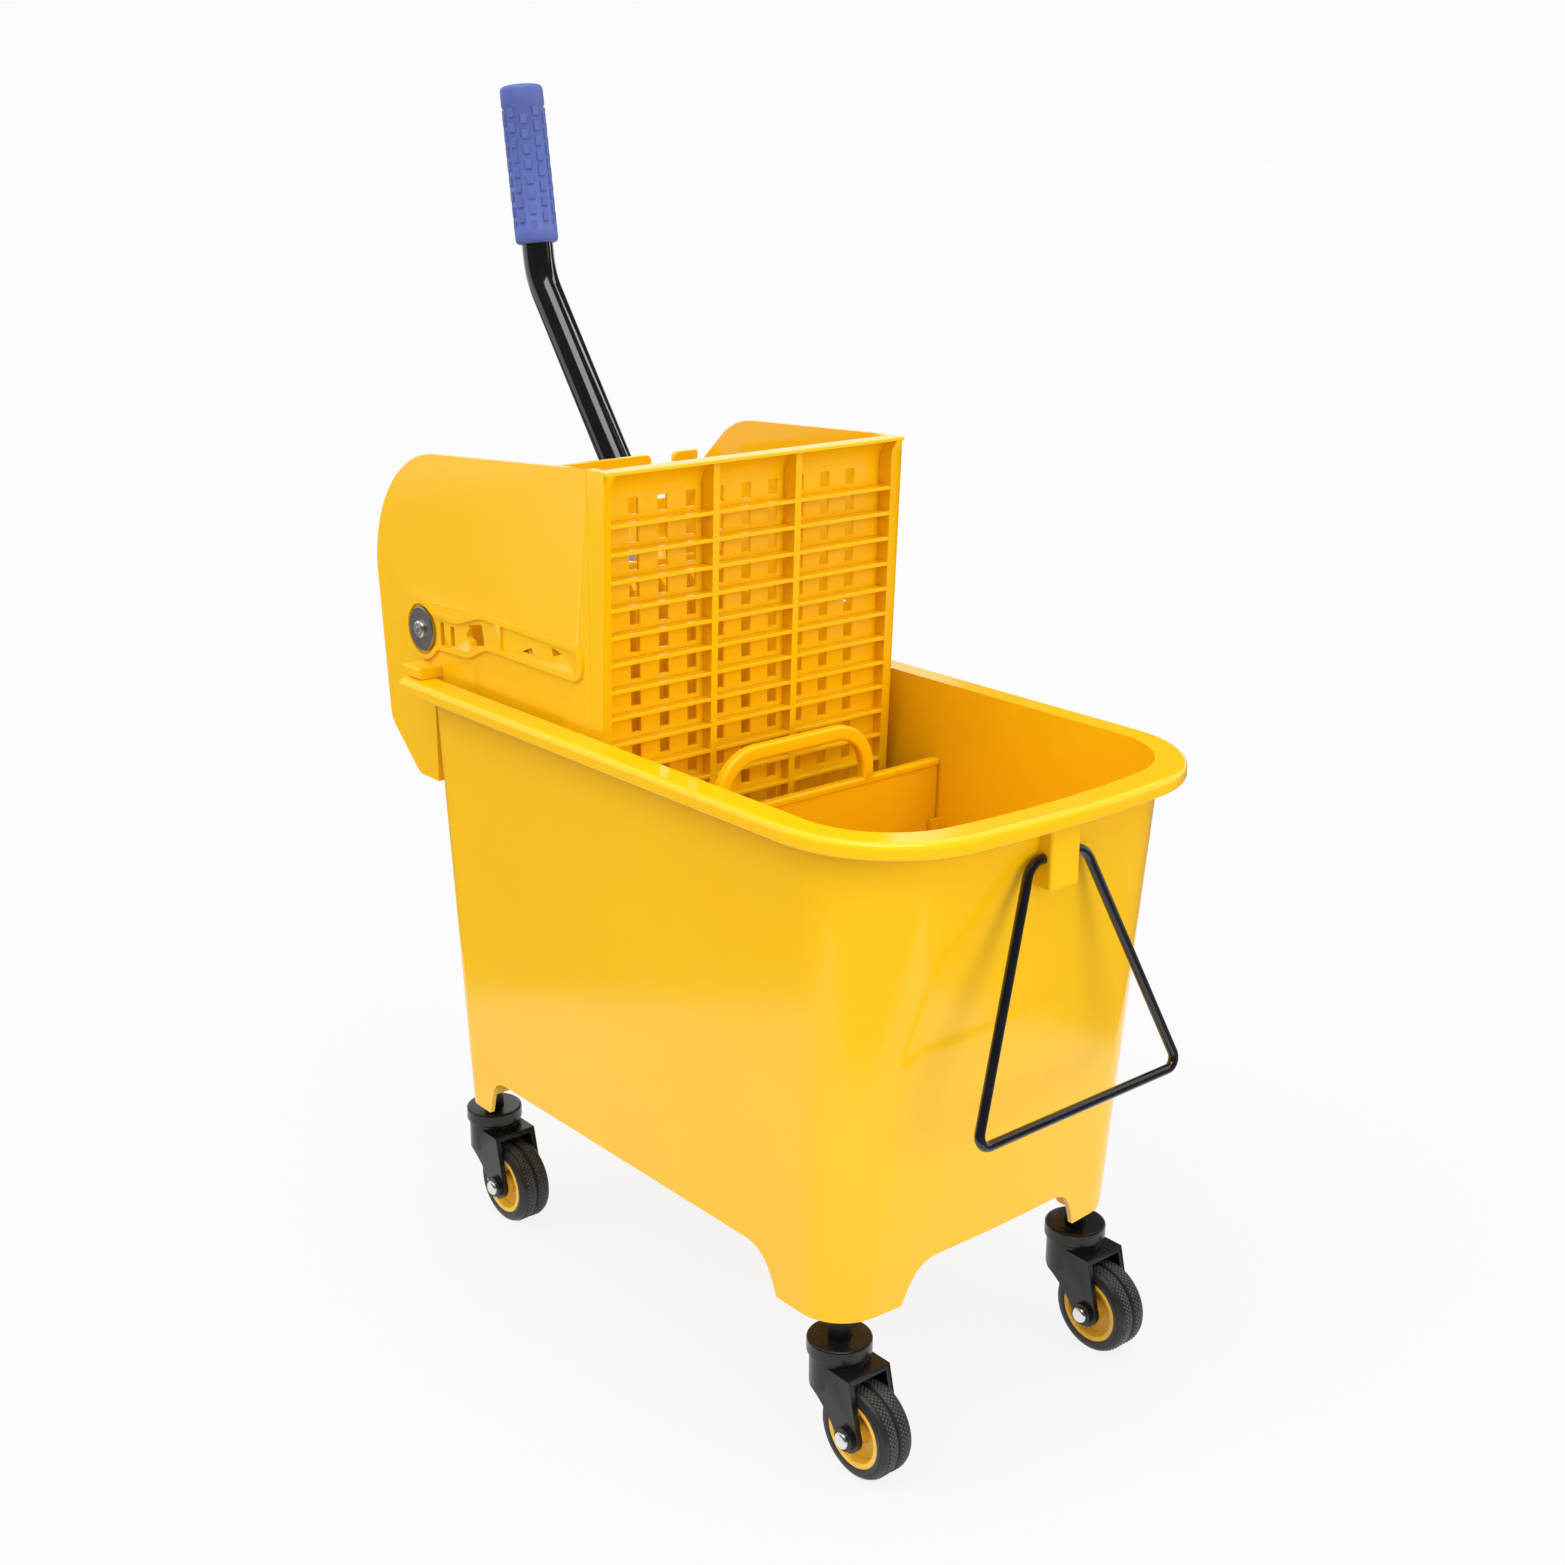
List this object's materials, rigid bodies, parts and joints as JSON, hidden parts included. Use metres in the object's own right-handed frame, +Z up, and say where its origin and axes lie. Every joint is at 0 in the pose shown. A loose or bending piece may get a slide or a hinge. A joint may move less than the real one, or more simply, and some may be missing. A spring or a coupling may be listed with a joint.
{
  "type": "mop bucket with wringer",
  "caption": "Wheeled mop bucket with drafted walls, rolled rim, lift-out divider and wire carrying handle, and a lift-off lever press wringer with a ribbed, pierced grille.",
  "frame": {"origin": "on the floor, midway between the caster stems", "axes": "+X to the bowed front, +Y to the side of the lever, +Z up"},
  "size_m": [0.6332, 0.271, 0.7254],
  "materials": {
    "yellow_plastic": "moulded, glossy",
    "black_plastic": "moulded, satin",
    "hub_plastic": "moulded, satin",
    "tyre_rubber": "matte",
    "blue_rubber": "matte, textured",
    "black_tube": "semi-gloss",
    "wire": "semi-gloss",
    "bolt_steel": "zinc plated",
    "washer_steel": "dull grey",
    "stem_steel": "black, satin"
  },
  "bodies": {
    "bucket": {"bucket_shell": "yellow_plastic", "caster_stem_front_left": "stem_steel", "caster_cap_front_left": "black_plastic", "caster_stem_front_right": "stem_steel", "caster_cap_front_right": "black_plastic", "caster_stem_rear_left": "stem_steel", "caster_cap_rear_left": "black_plastic", "caster_stem_rear_right": "stem_steel", "caster_cap_rear_right": "black_plastic"},
    "wringer": {"wringer_side_left": "yellow_plastic", "wringer_side_right": "yellow_plastic", "wringer_grille": "yellow_plastic", "wringer_floor": "yellow_plastic", "wringer_rear_band": "yellow_plastic", "wringer_saddle": "yellow_plastic"},
    "press": {"press_plate": "yellow_plastic", "pivot_bolt_left": "bolt_steel", "pivot_bolt_right": "bolt_steel", "pivot_washer_left": "washer_steel", "pivot_washer_right": "washer_steel", "lever_tube": "black_tube", "lever_grip": "blue_rubber", "lever_bolt": "bolt_steel", "lever_nut": "bolt_steel"},
    "divider": {"divider": "yellow_plastic"},
    "bail": {"bail_wire": "wire"},
    "fork_front_left": {"caster_fork_front_left": "black_plastic", "axle_bolt_front_left": "bolt_steel", "axle_nut_front_left": "bolt_steel"},
    "wheel_front_left": {"wheel_hub_front_left": "hub_plastic", "wheel_tyre_front_left": "tyre_rubber"},
    "fork_front_right": {"caster_fork_front_right": "black_plastic", "axle_bolt_front_right": "bolt_steel", "axle_nut_front_right": "bolt_steel"},
    "wheel_front_right": {"wheel_hub_front_right": "hub_plastic", "wheel_tyre_front_right": "tyre_rubber"},
    "fork_rear_left": {"caster_fork_rear_left": "black_plastic", "axle_bolt_rear_left": "bolt_steel", "axle_nut_rear_left": "bolt_steel"},
    "wheel_rear_left": {"wheel_hub_rear_left": "hub_plastic", "wheel_tyre_rear_left": "tyre_rubber"},
    "fork_rear_right": {"caster_fork_rear_right": "black_plastic", "axle_bolt_rear_right": "bolt_steel", "axle_nut_rear_right": "bolt_steel"},
    "wheel_rear_right": {"wheel_hub_rear_right": "hub_plastic", "wheel_tyre_rear_right": "tyre_rubber"}
  },
  "joints": [
    {"name": "wringer_lift", "type": "slide", "parent": "bucket", "child": "wringer", "axis": [0, 0, 1], "range_m": [0, 0.25]},
    {"name": "press_swing", "type": "hinge", "parent": "wringer", "child": "press", "pos_m": [-0.203, -0.0022, 0.4], "axis": [0, -1, 0], "range_deg": [0, 55]},
    {"name": "divider_lift", "type": "slide", "parent": "bucket", "child": "divider", "axis": [0, 0, 1], "range_m": [0, 0.24]},
    {"name": "bail_swing", "type": "hinge", "parent": "bucket", "child": "bail", "pos_m": [0.2265, 0, 0.345], "axis": [0, -1, 0], "range_deg": [-13, 115]},
    {"name": "swivel_front_left", "type": "hinge", "parent": "bucket", "child": "fork_front_left", "pos_m": [0.1715, -0.0955, 0.06], "axis": [0, 0, 1], "continuous": true},
    {"name": "spin_front_left", "type": "hinge", "parent": "fork_front_left", "child": "wheel_front_left", "pos_m": [0.1945, -0.0955, 0.0266], "axis": [0, 1, 0], "continuous": true},
    {"name": "swivel_front_right", "type": "hinge", "parent": "bucket", "child": "fork_front_right", "pos_m": [0.1715, 0.0955, 0.06], "axis": [0, 0, 1], "continuous": true},
    {"name": "spin_front_right", "type": "hinge", "parent": "fork_front_right", "child": "wheel_front_right", "pos_m": [0.1945, 0.0955, 0.0266], "axis": [0, 1, 0], "continuous": true},
    {"name": "swivel_rear_left", "type": "hinge", "parent": "bucket", "child": "fork_rear_left", "pos_m": [-0.1815, -0.089, 0.06], "axis": [0, 0, 1], "continuous": true},
    {"name": "spin_rear_left", "type": "hinge", "parent": "fork_rear_left", "child": "wheel_rear_left", "pos_m": [-0.1585, -0.089, 0.0266], "axis": [0, 1, 0], "continuous": true},
    {"name": "swivel_rear_right", "type": "hinge", "parent": "bucket", "child": "fork_rear_right", "pos_m": [-0.1815, 0.089, 0.06], "axis": [0, 0, 1], "continuous": true},
    {"name": "spin_rear_right", "type": "hinge", "parent": "fork_rear_right", "child": "wheel_rear_right", "pos_m": [-0.1585, 0.089, 0.0266], "axis": [0, 1, 0], "continuous": true}
  ]
}
